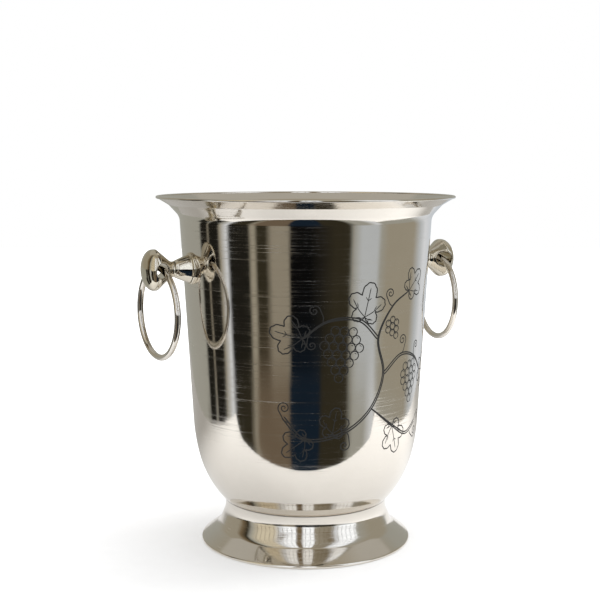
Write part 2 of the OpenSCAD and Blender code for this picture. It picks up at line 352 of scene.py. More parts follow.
def turned(outline, count, closed):
    """Surface of revolution: (r, z) of the outline swept to (r cos t, r sin t, z) over a full turn of t.
    An open outline starts and ends on the axis, and each end becomes one shared point."""
    turn = np.linspace(0, 2 * np.pi, count, endpoint=False)
    body = outline if closed else outline[1:-1]
    radius, height = body[:, 0, None], body[:, 1, None]
    grid = np.stack([radius * np.cos(turn), radius * np.sin(turn), height + 0 * turn], -1)
    points, faces = grid.reshape(-1, 3), grid_faces(len(body), count, closed)
    if closed:
        return points, faces
    poles = [[0, 0, outline[0, 1]], [0, 0, outline[-1, 1]]]
    start, end, last = len(points), len(points) + 1, (len(body) - 1) * count
    around = np.arange(count)
    beyond = (around + 1) % count
    faces += np.stack([around * 0 + start, beyond, around], -1).tolist()
    faces += np.stack([around * 0 + end, last + around, last + beyond], -1).tolist()
    return np.vstack([points, poles]), faces


def hoop(radius, wire, rows, columns):
    """Ring of round wire in the XY plane: ((R + w cos s) cos t, (R + w cos s) sin t, w sin s)."""
    t = np.linspace(0, 2 * np.pi, rows, endpoint=False)[:, None]
    s = np.linspace(0, 2 * np.pi, columns, endpoint=False)[None, :]
    reach = radius + wire * np.cos(s)
    grid = np.stack([reach * np.cos(t), reach * np.sin(t), wire * np.sin(s) + 0 * t], -1)
    return grid.reshape(-1, 3), grid_faces(rows, columns, True)


def rod(radius, start, stop, count=ROUND_DRILL):
    """Closed round bar along X from start to stop, for cutting holes."""
    outline = np.array([[0, start], [radius, start], [radius, stop], [0, stop]])
    points, faces = turned(outline, count, False)
    return points[:, [2, 0, 1]], faces


def cut(piece, cutters):
    """Takes each cutter away from the piece with a Boolean and keeps the result as plain mesh."""
    for cutter in cutters:
        step = piece.modifiers.new("cut", "BOOLEAN")
        step.operation, step.solver, step.object = "DIFFERENCE", "EXACT", cutter
    keep_result(piece)
    piece.data.set_sharp_from_angle(angle=math.radians(SMOOTH_BELOW))
    for cutter in cutters:
        bpy.data.objects.remove(cutter)


def keep_result(piece):
    """Replaces a piece's mesh by what its modifiers make of it."""
    graph = bpy.context.evaluated_depsgraph_get()
    result = bpy.data.meshes.new_from_object(piece.evaluated_get(graph))
    piece.modifiers.clear()
    piece.data = result


def settle(piece, body, slot, *nodes):
    """Rides a finished piece on its body, in place of its nodes. Its slot, the name of its finish, is not
    used.
    """
    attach(piece, body)
    if nodes:
        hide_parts(*nodes)


# ---- shader groups
FLOAT = "NodeSocketFloat"
VECTOR = "NodeSocketVector"
COLOUR = "NodeSocketColor"


def new_group(name, inputs, outputs):
    """A shader node group with the given sockets; returns the group and its two end nodes."""
    group = bpy.data.node_groups.new(name, "ShaderNodeTree")
    for label, kind, value in inputs:
        socket = group.interface.new_socket(name=label, in_out="INPUT", socket_type=kind)
        socket.default_value = value
    for label, kind in outputs:
        group.interface.new_socket(name=label, in_out="OUTPUT", socket_type=kind)
    return group, group.nodes.new("NodeGroupInput"), group.nodes.new("NodeGroupOutput")


def feed(tree, socket, value):
    """Links a socket to an output, or sets it to a number or a colour."""
    if isinstance(value, bpy.types.NodeSocket):
        tree.links.new(value, socket)
    else:
        socket.default_value = (*value, 1) if isinstance(value, tuple) else value


def set_inputs(tree, node, **values):
    """Feeds the named inputs of a node, underscores standing for spaces. Returns the node."""
    for label, value in values.items():
        feed(tree, node.inputs[label.replace("_", " ")], value)
    return node


def math_node(tree, operation, *values):
    """The output of a Math node whose inputs are sockets or plain numbers."""
    node = tree.nodes.new("ShaderNodeMath")
    node.operation = operation
    for socket, value in zip(node.inputs, values):
        feed(tree, socket, value)
    return node.outputs[0]


def product(tree, first, second):
    """The first times the second, either a socket or a number."""
    return math_node(tree, "MULTIPLY", first, second)


def object_place(tree):
    """Where a point lies in its object's own axes."""
    return tree.nodes.new("ShaderNodeTexCoord").outputs["Object"]


def split_axes(tree, vector):
    """The x, y and z of a vector."""
    return set_inputs(tree, tree.nodes.new("ShaderNodeSeparateXYZ"), Vector=vector).outputs


def noise_node(tree, vector, scale, detail, roughness):
    """The factor of a 3-D noise texture on a vector."""
    node = tree.nodes.new("ShaderNodeTexNoise")
    set_inputs(tree, node, Vector=vector, Scale=scale, Detail=detail, Roughness=roughness)
    return node.outputs["Fac"]


def bump_node(tree, height, depth, **below):
    """The normal of a Bump node of a given depth in metres, on top of another Normal if one is given."""
    node = tree.nodes.new("ShaderNodeBump")
    return set_inputs(tree, node, Height=height, Distance=depth, **below).outputs["Normal"]


def between(tree, value, low, high, first=0.0, last=1.0):
    """The first number below low, the last above high, and a smooth run between them."""
    node = tree.nodes.new("ShaderNodeMapRange")
    node.interpolation_type = "SMOOTHSTEP"
    set_inputs(tree, node, Value=value, From_Min=low, From_Max=high, To_Min=first, To_Max=last)
    return node.outputs["Result"]


def mix_colours(tree, factor, first, second):
    """first where the factor is 0, second where it is 1; either may be a socket or a colour."""
    node = tree.nodes.new("ShaderNodeMix")
    node.data_type = "RGBA"
    colour_1, colour_2 = node.inputs[6], node.inputs[7]
    for socket, value in ((node.inputs["Factor"], factor), (colour_1, first), (colour_2, second)):
        feed(tree, socket, value)
    return node.outputs[2]


# Strengths of the marks that the metals share
RINGS_PER_METRE = 1400.0
STREAKS_PER_RADIAN = 1.2
STREAK_STRENGTH = 34.0
STREAK_BASE = 0.4
RIPPLES_PER_METRE = 26.0
CLOUDS_PER_METRE = 42.0
SPOTS_PER_METRE = 160.0
BUFFING_PER_METRE = 1800.0
BUFFING_DEPTH = 1.5e-6
# Painted crevice shade with some patina, in a dark band round the bowl's joint with the foot
SHADE_AND_TARNISH_COLOUR = (0.05, 0.04, 0.03)
SHADE_AND_TARNISH_MOST = 0.9


def spinning_group():
    """Marks of spinning on a lathe: fine rings round Z, a slow hand-polished ripple and cloudy gloss."""
    group, inside, outside = new_group(
        "spinning marks",
        [("Ring Depth", FLOAT, 2e-6), ("Ripple Depth", FLOAT, 2e-4), ("Gloss", FLOAT, 0.05)],
        [("Normal", VECTOR), ("Roughness", FLOAT), ("Cloud", FLOAT)],
    )
    place = object_place(group)
    x, y, z = split_axes(group, place)
    squares = [math_node(group, "POWER", axis, 2.0) for axis in (x, y)]
    radius = math_node(group, "SQRT", math_node(group, "ADD", *squares))
    turn = math_node(group, "ARCTAN2", y, x)
    ring = group.nodes.new("ShaderNodeCombineXYZ")
    stretched = ((radius, RINGS_PER_METRE), (turn, STREAKS_PER_RADIAN), (z, RINGS_PER_METRE))
    for socket, (value, scale) in zip(ring.inputs, stretched):
        group.links.new(product(group, value, scale), socket)
    rings = noise_node(group, ring.outputs[0], 1.0, 3.0, 0.6)
    ripple = noise_node(group, place, RIPPLES_PER_METRE, 2.0, 0.45)
    cloud = noise_node(group, place, CLOUDS_PER_METRE, 3.0, 0.6)
    rippled = bump_node(group, ripple, inside.outputs["Ripple Depth"])
    normal = bump_node(group, rings, inside.outputs["Ring Depth"], Normal=rippled)
    streak = product(group, math_node(group, "POWER", rings, 4.0), cloud)
    streak = math_node(group, "MULTIPLY_ADD", streak, STREAK_STRENGTH, STREAK_BASE)
    rough = product(group, inside.outputs["Gloss"], streak)
    set_inputs(group, outside, Normal=normal, Roughness=rough, Cloud=cloud)
    return group


def casting_group():
    """Uneven surface of a hand-finished casting: soft lumps with fine buffing marks on top."""
    group, inside, outside = new_group(
        "casting marks",
        [("Lump Size", FLOAT, 5e-3), ("Lump Depth", FLOAT, 1e-4), ("Gloss", FLOAT, 0.07)],
        [("Normal", VECTOR), ("Roughness", FLOAT), ("Cloud", FLOAT)],
    )
    place = object_place(group)
    per_metre = math_node(group, "DIVIDE", 1.0, inside.outputs["Lump Size"])
    lumps = noise_node(group, place, per_metre, 1.5, 0.4)
    buffing = noise_node(group, place, BUFFING_PER_METRE, 2.0, 0.6)
    cloud = noise_node(group, place, SPOTS_PER_METRE, 2.0, 0.6)
    lumpy = bump_node(group, lumps, inside.outputs["Lump Depth"])
    normal = bump_node(group, buffing, BUFFING_DEPTH, Normal=lumpy)
    rough = product(group, inside.outputs["Gloss"], math_node(group, "MULTIPLY_ADD", cloud, 1.2, 0.4))
    set_inputs(group, outside, Normal=normal, Roughness=rough, Cloud=cloud)
    return group


def shade_and_tarnish_group():
    """Darkens a colour in a band round a height, where two soldered pieces meet: painted crevice shade at
    the joint, with some patina where polish can't reach.
    """
    group, inside, outside = new_group(
        "painted shade and patina band",
        [("Color", COLOUR, (1, 1, 1, 1)), ("Cloud", FLOAT, 0.5), ("Height", FLOAT, 0.0),
         ("Width", FLOAT, 1e-3)],
        [("Color", COLOUR)],
    )
    height = split_axes(group, object_place(group))[2]
    off = math_node(group, "ABSOLUTE", math_node(group, "SUBTRACT", height, inside.outputs["Height"]))
    near = math_node(group, "SUBTRACT", 1.0, math_node(group, "DIVIDE", off, inside.outputs["Width"]))
    near = math_node(group, "MAXIMUM", near, 0.0)
    patchy = math_node(group, "MULTIPLY_ADD", inside.outputs["Cloud"], 0.8, 0.45)
    amount = math_node(group, "MINIMUM", product(group, near, patchy), SHADE_AND_TARNISH_MOST)
    set_inputs(group, outside, Color=mix_colours(group, amount, inside.outputs["Color"], SHADE_AND_TARNISH_COLOUR))
    return group


def grain_group():
    """Fine grain of a matt surface: one noise for its tint and its relief."""
    group, inside, outside = new_group(
        "matt grain",
        [("Grains Per Metre", FLOAT, 900.0), ("Depth", FLOAT, 2e-5)],
        [("Grain", FLOAT), ("Normal", VECTOR)],
    )
    grain = noise_node(group, object_place(group), inside.outputs["Grains Per Metre"], 3.0, 0.6)
    set_inputs(group, outside, Grain=grain, Normal=bump_node(group, grain, inside.outputs["Depth"]))
    return group


SPINNING = spinning_group()
CASTING = casting_group()
SHADE_AND_TARNISH = shade_and_tarnish_group()
GRAIN = grain_group()


# ---- materials
def new_material(name):
    """An empty node material with a Principled shader; returns the material, its tree and the shader."""
    material = bpy.data.materials.new(name)
    material.use_nodes = True
    tree = material.node_tree
    return material, tree, tree.nodes["Principled BSDF"]


def place_group(tree, group, **values):
    """A group node with its named inputs fed."""
    node = tree.nodes.new("ShaderNodeGroup")
    node.node_tree = group
    return set_inputs(tree, node, **values)


def polished_metal(name, group, marks, dark, light, shade_and_tarnish_band=None):
    """Polished metal: a marks group gives normal and roughness, and its cloud shifts the tint a little.
    The last argument gives the height and width of a dark band, painted crevice shade with some patina, if
    it has one."""
    material, tree, shader = new_material(name)
    made = place_group(tree, group, **marks).outputs
    cloud, rough, normal = (made[label] for label in ("Cloud", "Roughness", "Normal"))
    colour = mix_colours(tree, cloud, dark, light)
    if shade_and_tarnish_band is not None:
        height, width = shade_and_tarnish_band
        band = place_group(tree, SHADE_AND_TARNISH, Color=colour, Cloud=cloud, Height=height, Width=width)
        colour = band.outputs["Color"]
    set_inputs(tree, shader, Metallic=1.0, Base_Color=colour, Roughness=rough, Normal=normal)
    return material


SILVER_DARK = (0.70, 0.66, 0.60)
SILVER_LIGHT = (0.76, 0.72, 0.66)
# The spun silver darkens in a band at its joint with the foot: painted crevice shade with some patina
spun_silver = polished_metal(
    "spun silver", SPINNING, {"Ring_Depth": 4.5e-6, "Ripple_Depth": 1.6e-4, "Gloss": 0.05},
    SILVER_DARK, SILVER_LIGHT, (JOINT_HEIGHT, SHADE_AND_TARNISH_WIDTH))
bright_silver = polished_metal(
    "bright silver", CASTING, {"Lump_Size": 9 * MM, "Lump_Depth": 2.5e-5, "Gloss": 0.06},
    SILVER_DARK, SILVER_LIGHT)
cast_silver = polished_metal(
    "cast silver", CASTING, {"Lump_Size": 4.5 * MM, "Lump_Depth": 1.6e-4, "Gloss": 0.08},
    (0.62, 0.57, 0.47), (0.72, 0.67, 0.57))
plain_steel = polished_metal(
    "plated steel", CASTING, {"Lump_Size": 2 * MM, "Lump_Depth": 3e-5, "Gloss": 0.3},
    (0.40, 0.40, 0.42), (0.55, 0.55, 0.57))
soft_solder = polished_metal(
    "soft solder", CASTING, {"Lump_Size": 3 * MM, "Lump_Depth": 4e-4, "Gloss": 0.45},
    (0.30, 0.30, 0.30), (0.45, 0.45, 0.44))


def plain_surface(name, dark, light, roughness, per_metre, depth):
    """A matt surface whose tint and height follow one grain."""
    material, tree, shader = new_material(name)
    made = place_group(tree, GRAIN, Grains_Per_Metre=per_metre, Depth=depth).outputs
    tint = mix_colours(tree, made["Grain"], dark, light)
    set_inputs(tree, shader, Base_Color=tint, Normal=made["Normal"], Roughness=roughness)
    return material


# Black rubber for the seals; their black also stands in for the dark reflection of the flange's edge in the
# polished wall, a painted reflection
black_rubber_and_painted_reflection = plain_surface("black rubber and painted reflection", (0.012, 0.012, 0.012), (0.03, 0.03, 0.03), 0.7, 900.0, 2e-5)
engraving_black = plain_surface(
    "engraving black", (0.007, 0.007, 0.0065), (0.016, 0.0155, 0.014), 0.6, 1500.0, 5e-6)

# The paper: its white, the painted shade it darkens to in mirrored views and how its glow grows, over
# distances in metres
PAPER_GRAIN = 60.0
PAPER_DARK = (0.74, 0.74, 0.74)
PAPER_LIGHT = (0.78, 0.78, 0.78)
PAPER_PAINTED_SHADE = (0.22, 0.21, 0.19)
PAINTED_SHADE_FROM = -0.02
PAINTED_SHADE_TO = 0.30
PAINTED_SHADE_MOST = 0.85
PAINTED_SHADE_SLANT = 0.15
GLOW_FROM = 0.12
GLOW_TO = 0.9
GLOW_NEAR = 0.22
GLOW_FAR = 0.75
PAPER_ROUGHNESS = 0.9
PAPER_SHINE = 0.1
PURE_WHITE = (1.0, 1.0, 1.0)


def paper_sheet():
    """White paper with a faint grain. It glows a little, and more with the distance from the bucket, as
    lit background paper does, so that it runs into the white behind it. In mirrored views its colour
    darkens towards the back: painted shade, where less light falls on it."""
    material, tree, shader = new_material("paper white")
    place = object_place(tree)
    grain = place_group(tree, GRAIN, Grains_Per_Metre=PAPER_GRAIN).outputs["Grain"]
    white = mix_colours(tree, grain, PAPER_DARK, PAPER_LIGHT)
    across, away = split_axes(tree, place)[:2]
    back = math_node(tree, "MULTIPLY_ADD", across, PAINTED_SHADE_SLANT, away)
    seen = tree.nodes.new("ShaderNodeLightPath")
    # Painted shade: seen in the metal, the paper darkens towards the back
    painted_shade = product(tree, between(tree, back, PAINTED_SHADE_FROM, PAINTED_SHADE_TO), seen.outputs["Is Glossy Ray"])
    painted_shade = product(tree, painted_shade, PAINTED_SHADE_MOST)
    far = tree.nodes.new("ShaderNodeVectorMath")
    far.operation = "LENGTH"
    tree.links.new(place, far.inputs[0])
    glow = between(tree, far.outputs["Value"], GLOW_FROM, GLOW_TO, GLOW_NEAR, GLOW_FAR)
    glow = product(tree, glow, math_node(tree, "SUBTRACT", 1.0, painted_shade))
    tint = mix_colours(tree, painted_shade, white, PAPER_PAINTED_SHADE)
    set_inputs(tree, shader, Base_Color=tint, Roughness=PAPER_ROUGHNESS, Specular_IOR_Level=PAPER_SHINE)
    set_inputs(tree, shader, Emission_Color=PURE_WHITE, Emission_Strength=glow)
    return material


paper_white = paper_sheet()


# ---- bowl, foot and rim wire
def make_bowl():
    """The spun bowl, with a screw hole through the wall at each side."""
    bowl = make_piece("bowl_sheet", *turned(bowl_outline(), ROUND_BOWL, False), spun_silver)
    reach = wall_radius(POST_HEIGHT)
    points, faces = rod(SCREW_HOLE_RADIUS, reach - DRILL_REACH, reach + DRILL_REACH)
    cutters = []
    for side in (-1, 1):
        place = points * [side, 1, 1] + [0, 0, POST_HEIGHT]
        cutters.append(make_piece("hole_cutter", place, faces, spun_silver))
    cut(bowl, cutters)
    settle(bowl, "bucket", "spun_silver", "bowl")


def make_foot():
    """The spun foot with its rolled edge."""
    foot = make_piece("foot_sheet", *turned(foot_outline(), ROUND_BOWL, True), spun_silver)
    settle(foot, "bucket", "spun_silver", "foot")


def make_rim_wire():
    """The round wire soldered to the edge of the brim."""
    points, faces = hoop(RIM_WIRE_CENTRE[0], RIM_WIRE_RADIUS, ROUND_BOWL, ROUND_BEAD)
    wire = make_piece("rim_bead", points + [0, 0, RIM_WIRE_CENTRE[1]], faces, bright_silver)
    settle(wire, "bucket", "bright_silver", "rim_wire")


# ---- handle posts
def along_outline(outline, spot):
    """Distance from each (r, x) spot to the outline, positive outside, and the outline's own smooth normal
    there: the nearest point on every straight step is found, and the corner normals are mixed along it."""
    start, stop = outline[:-1], outline[1:]
    step = stop - start
    length = np.linalg.norm(step, axis=1)
    out = np.stack([step[:, 1], -step[:, 0]], -1) / length[:, None]
    weight = 1 / length[:, None]
    corner = np.vstack([out[:1], out[:-1] * weight[:-1] + out[1:] * weight[1:], out[-1:]])
    corner[-1] = [0, 1]
    corner /= np.linalg.norm(corner, axis=1)[:, None]
    share = np.einsum("sij,ij->si", spot[:, None] - start, step) / length**2
    share = np.clip(share, 0, 1)
    gap = spot[:, None] - (start + share[..., None] * step)
    best = np.argmin(np.einsum("sij,sij->si", gap, gap), 1)
    pick = np.arange(len(spot))
    share, gap = share[pick, best][:, None], gap[pick, best]
    normal = (1 - share) * corner[best] + share * corner[best + 1]
    normal /= np.linalg.norm(normal, axis=1)[:, None]
    return np.einsum("si,si->s", gap, normal), normal


def round_max(first, second, width):
    """The larger of two distances with its corner rounded over a width, and the gradient mixed to match."""
    (value_1, slope_1), (value_2, slope_2) = first, second
    blend = np.maximum(width - np.abs(value_1 - value_2), 0) / width
    value = np.maximum(value_1, value_2) + blend**2 * width / 4
    share = np.where(value_1 > value_2, 1 - blend / 2, blend / 2)[:, None]
    return value, share * slope_1 + (1 - share) * slope_2


def post_field(spot, outline):
    """How far each spot lies outside the finished post, with the gradient: the turned shape, less the
    ring hole with a soft mouth, less the wall's cone, less the tapped hole."""
    x, y, z = spot.T
    reach = np.maximum(np.hypot(y, z), TINY)
    wall = wall_radius(POST_HEIGHT)
    value, normal = along_outline(outline, np.stack([reach, x - wall], -1))
    turned_part = value, np.stack([normal[:, 1], normal[:, 0] * y / reach, normal[:, 0] * z / reach], -1)
    hole = np.maximum(np.hypot(x - RING_HOLE_OUT, z), TINY)
    slope = -np.stack([(x - RING_HOLE_OUT) / hole, 0 * hole, z / hole], -1)
    with_hole = round_max(turned_part, (RING_HOLE_RADIUS - hole, slope), HOLE_MOUTH_ROUND)
    across, up = unit(-WALL_LEAN)
    far = np.maximum(np.hypot(x, y), TINY)
    inside_wall = wall_far + SEAT_GAP - (far * across + (z + POST_HEIGHT) * up)
    slope = -np.stack([across * x / far, across * y / far, up + 0 * far], -1)
    fitted = round_max(with_hole, (inside_wall, slope), WALL_EDGE_ROUND)
    in_bore = x - TAPPED_END > TAPPED_RADIUS - reach
    side = -np.stack([0 * x, y / reach, z / reach], -1)
    slope = np.where(in_bore[:, None], [[1.0, 0, 0]], side)
    bore = -np.maximum(reach - TAPPED_RADIUS, x - TAPPED_END)
    return round_max(fitted, (bore, slope), TAPPED_EDGE_ROUND)


def post_blank(outline):
    """The turned post along X, evenly remeshed, with its two holes and the wall's cone cut out."""
    wall = wall_radius(POST_HEIGHT)
    points, faces = turned(outline, ROUND_POST, False)
    blank = make_piece("post_blank", points[:, [2, 0, 1]] + [wall, 0, 0], faces, cast_silver)
    points, faces = rod(RING_HOLE_RADIUS, -RING_HOLE_REACH, RING_HOLE_REACH, ROUND_RING_HOLE)
    hole = make_piece("ring_hole", points[:, [1, 0, 2]] + [RING_HOLE_OUT, 0, 0], faces, cast_silver)
    bore = make_piece("bore", *rod(TAPPED_RADIUS, wall - CONE_REACH, TAPPED_END), cast_silver)
    low, high = -CONE_REACH, CONE_REACH
    cone = np.array([
        [0, low],
        [wall_radius(POST_HEIGHT + low, SEAT_GAP), low],
        [wall_radius(POST_HEIGHT + high, SEAT_GAP), high],
        [0, high],
    ])
    barrel = make_piece("wall_cutter", *turned(cone, ROUND_CONE, False), cast_silver)
    cut(blank, [hole, bore, barrel])
    even = blank.modifiers.new("even", "REMESH")
    even.mode, even.voxel_size = "VOXEL", POST_VOXEL
    keep_result(blank)
    return blank


def onto_field(spot, outline):
    """Points moved on to the post field's zero surface by Newton steps, value / |slope|^2 along the slope,
    with the field's own direction there as their normals."""
    for _ in range(NEWTON_STEPS):
        value, slope = post_field(spot, outline)
        spot = spot - (value / np.einsum("ij,ij->i", slope, slope))[:, None] * slope
    normal = post_field(spot, outline)[1]
    return spot, normal / np.linalg.norm(normal, axis=1)[:, None]


def make_posts():
    """Both handle posts: the fitted points of one blank, mirrored for the left side."""
    outline = post_outline()
    blank = post_blank(outline)
    spot = np.empty(len(blank.data.vertices) * 3)
    blank.data.vertices.foreach_get("co", spot)
    spot, normal = onto_field(spot.reshape(-1, 3), outline)
    polygons = [tuple(face.vertices) for face in blank.data.polygons]
    bpy.data.objects.remove(blank)
    for side, label in ((-1, "left"), (1, "right")):
        place = spot * [side, 1, 1] + [0, 0, POST_HEIGHT]
        order = polygons if side > 0 else [face[::-1] for face in polygons]
        post = make_piece(label + "_post_casting", place, order, cast_silver, ALL_SMOOTH)
        post.data.normals_split_custom_set_from_vertices((normal * [side, 1, 1]).tolist())
        settle(post, "bucket", "cast_silver", label + "_post")


# ---- rings
def make_ring(label, turn):
    """A loose ring of round wire round the middle of the frame's ring. The hoop's plane goes through the
    upright and is turned about it by a few degrees from straight ahead."""
    low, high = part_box(label)
    middle = (low + high) / 2
    radius = (high.z - low.z) / 2 - RING_WIRE_RADIUS
    points, faces = hoop(radius, RING_WIRE_RADIUS, ROUND_RING, ROUND_WIRE)
    a = math.radians(turn)
    along = [math.sin(a), -math.cos(a), 0]
    aside = [math.cos(a), math.sin(a), 0]
    place = points @ np.array([along, [0, 0, 1], aside]) + np.array(middle)
    ring = make_piece(label + "_wire", place, faces, bright_silver)
    settle(ring, label, "bright_silver", label)


# ---- engraved vine
ENGRAVING_TURN = 5.0
ENGRAVING_MIDDLE = 146 * MM

# The section of a line, then how finely its motifs are drawn
LINE_WIDTH = 0.9 * MM
LINE_RISE = 0.03 * MM
LINE_DEPTH = 0.12 * MM
LINE_STEP = 0.6 * MM
LINE_TAPER = 1.5 * MM
LINE_END = 0.35
STEM_POINTS = 90
CURL_POINTS = 70
LEAD_POINTS = 16
MARGIN_POINTS = 240
VEIN_POINTS = 14
GRAPE_POINTS = 26
SHINE_ARC = slice(9, 14)
STEM_GAP = 0.9

# Places of the grapes in a bunch, in grape radii: first row, from row to row, and side by side
FIRST_ROW = 2.4
ROW_PITCH = 1.78
GRAPE_PITCH = 2.08


def curve_through(knots, count):
    """A smooth line through the knots: cubic steps with tangents (next - previous) / 2."""
    knots = np.asarray(knots, float)
    padded = np.vstack([2 * knots[0] - knots[1], knots, 2 * knots[-1] - knots[-2]])
    place = np.linspace(0, len(knots) - 1, count)
    step = np.minimum(place.astype(int), len(knots) - 2)
    t = (place - step)[:, None]
    a, b, c, d = (padded[step + k] for k in range(4))
    return ((2 * b) + (c - a) * t + (2 * a - 5 * b + 4 * c - d) * t**2
            + (3 * b - a - 3 * c + d) * t**3) / 2


def beside(line):
    """Unit steps to the left of a flat line, square to its course at every point."""
    ahead = np.gradient(line, axis=0)
    return np.stack([-ahead[:, 1], ahead[:, 0]], -1) / np.linalg.norm(ahead, axis=1)[:, None]


def turned_to(points, place, tilt):
    """Points of a motif turned by tilt degrees and moved to their place."""
    a = math.radians(tilt)
    turn = np.array([[math.cos(a), math.sin(a)], [-math.sin(a), math.cos(a)]])
    return np.asarray(points, float) @ turn + place


def tendril(size, turns, hand):
    """A curl that leads out along +x and winds up: at q from 0 to 1 its radius about its eye, over its
    size, is 0.12 + 0.88 (1 - q)^1.2."""
    q = np.linspace(0, 1, CURL_POINTS)
    a = hand * (2 * np.pi * turns * q - np.pi / 2)
    radius = size * (0.12 + 0.88 * (1 - q) ** 1.2)
    curl = np.stack([radius * np.cos(a), radius * np.sin(a)], -1) + [2.2 * size, hand * size]
    lead = curve_through([[0, 0], [0.8 * size, -0.25 * hand * size], [2.2 * size, 0]], LEAD_POINTS)
    return np.vstack([lead[:-1], curl])


def vine_leaf(size):
    """Margin and veins of a five-lobed leaf whose stalk is at the origin and whose tip points along +x.
    The margin, over its size, is (0.52 + 0.48 |cos 2.5 a|^0.8) (1 - 0.1 |a|) + 0.035 |sin 13 a| away from
    a middle that lies 0.42 along the leaf."""
    a = np.linspace(-math.pi, math.pi, MARGIN_POINTS)
    radius = 0.52 + 0.48 * np.abs(np.cos(2.5 * a)) ** 0.8
    radius *= 1 - 0.1 * np.abs(a)
    radius += 0.035 * np.abs(np.sin(13 * a))
    margin = size * np.stack([radius * np.cos(a) + 0.42, radius * np.sin(a)], -1)
    lines = [margin]
    for lobe in (-2, -1, 0, 1, 2):
        tip = math.radians(72 * lobe)
        reach = size * (0.80 - 0.09 * abs(lobe))
        end = np.array([reach * math.cos(tip) + 0.42 * size, reach * math.sin(tip)])
        bow = 0.5 * end + 0.05 * size * np.array([-math.sin(tip), math.cos(tip)]) * np.sign(lobe)
        lines.append(curve_through([[0, 0], bow, end], VEIN_POINTS))
        for side in (-1, 1):
            fork = 0.55 * end
            spread = tip + side * 0.75
            twig = fork + 0.2 * size * np.array([math.cos(spread), math.sin(spread)])
            lines.append(np.stack([fork, (fork + twig) / 2, twig]))
    return lines


def grape_bunch(size, rows):
    """Rows of round grapes, each a ring with a short arc of shine, hanging along +x in a pointed bunch."""
    a = np.linspace(0, 2 * np.pi, GRAPE_POINTS)
    ring = size * np.stack([np.cos(a), np.sin(a)], -1)
    shine = 0.55 * ring[SHINE_ARC]
    lines = []
    for row, count in enumerate(rows):
        for k in range(count):
            middle = size * np.array([FIRST_ROW + ROW_PITCH * row, GRAPE_PITCH * (k - (count - 1) / 2)])
            lines += [ring + middle, shine + middle]
    return lines


def stem_pair(knots):
    """A stem as two lines a little apart that run together at its end."""
    middle = curve_through(knots, STEM_POINTS)
    aside = beside(middle)
    apart = STEM_GAP * (1 - np.linspace(0, 1, len(middle))[:, None] ** 2)
    return [middle + apart * aside, middle - apart * aside]


# Motifs in millimetres on the unrolled wall, with u to the right and v up
STEMS = (
    [[-66, -34], [-50, -50], [-22, -46], [0, -30], [10, -6], [4, 20], [16, 42], [34, 52]],
    [[58, -48], [40, -54], [20, -44], [0, -30]],
    [[4, 20], [-12, 34], [-34, 34], [-52, 22]],
    [[10, -6], [28, 6], [48, 2], [62, -10]],
)
LEAVES = (
    ([-8, 36], 17, 78), ([-52, 22], 16, 165), ([34, 52], 14, 40), ([62, -10], 15, -8),
    ([-50, -50], 14, 215), ([22, -46], 15, -70), ([-30, -46], 13, 80),
)
BUNCHES = (
    ([-22, 34], 3.1, -96, (3, 4, 5, 4, 3, 2, 1)), ([40, 4], 2.9, -84, (3, 4, 4, 3, 2, 1)),
    ([12, 36], 2.3, -60, (2, 3, 2, 1)),
)
TENDRILS = (
    ([-38, 33], 4.2, 100, 1.6, 1), ([16, 42], 4.0, 130, 1.7, -1), ([28, 6], 4.4, 60, 1.7, 1),
    ([-62, -38], 4.6, 130, 1.8, -1), ([48, -53], 4.8, -40, 1.8, 1), ([-20, -45], 4.2, -70, 1.6, -1),
    ([48, 2], 3.6, 100, 1.6, -1), ([-46, 26], 3.6, 250, 1.6, 1), ([58, -48], 4.0, 40, 1.7, -1),
)


def vine_lines():
    """Every line of the ornament, with its width factor."""
    lines = []
    for knots in STEMS:
        lines += [(line, 1.15) for line in stem_pair(knots)]
    for place, size, tilt in LEAVES:
        lines += [(turned_to(line, place, tilt), 1.0 if k == 0 else 0.75)
                  for k, line in enumerate(vine_leaf(size))]
    for place, size, tilt, rows in BUNCHES:
        lines += [(turned_to(line, place, tilt), 0.9) for line in grape_bunch(size, rows)]
    for place, size, tilt, turns, hand in TENDRILS:
        lines.append((turned_to(tendril(size, turns, hand), place, tilt), 0.9))
    return lines


def on_the_wall(flat, lift):
    """Flat (u, v) points on the bowl's outer face, lifted along its normal: v is the height, and the turn
    is u over the wall's radius at the ornament's middle."""
    face = bowl_face(0.0)[::-1]
    face = face[face[:, 0] > 0.05]
    slope = np.gradient(face, axis=0)
    normal = np.stack([slope[:, 1], -slope[:, 0]], -1) / np.linalg.norm(slope, axis=1)[:, None]
    height = flat[:, 1]
    radius = np.interp(height, face[:, 1], face[:, 0])
    across = np.interp(height, face[:, 1], normal[:, 0])
    up = np.interp(height, face[:, 1], normal[:, 1])
    turn = flat[:, 0] / wall_radius(ENGRAVING_MIDDLE) + math.radians(ENGRAVING_TURN)
    reach = radius + lift * across
    return np.stack([reach * np.sin(turn), -reach * np.cos(turn), height + lift * up], -1)


